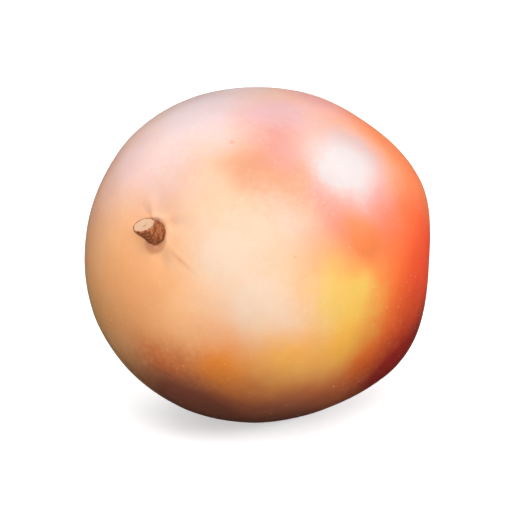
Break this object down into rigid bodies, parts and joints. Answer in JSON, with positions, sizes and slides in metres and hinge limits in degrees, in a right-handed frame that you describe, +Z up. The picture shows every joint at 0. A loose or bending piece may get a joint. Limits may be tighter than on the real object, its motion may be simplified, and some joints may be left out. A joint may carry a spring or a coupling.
{
  "type": "mango",
  "caption": "Whole round ripe mango as picked, lying on its side on a small flat spot, with blushed waxy skin, a low beak at its tip and a short woody stub of stalk.",
  "frame": {"origin": "on the surface the mango rests on, under the middle of the whole part's bounding box", "axes": "+X from the stalk end to the tip along the fruit, +Y across its cheeks, +Z up"},
  "size_m": [0.1188, 0.0972, 0.0993],
  "materials": {
    "skin": "ripe mango skin, smooth and waxy with a soft sheen; yellow-orange ground, pink and red blush, pale waxy bloom, fine pale pores, darker orange below",
    "stub_wood": "dry brown bark with fine cracks along it, and a pale tan cut end"
  },
  "bodies": {
    "root": {"fruit": "skin", "stem_stub": "stub_wood"}
  },
  "joints": []
}
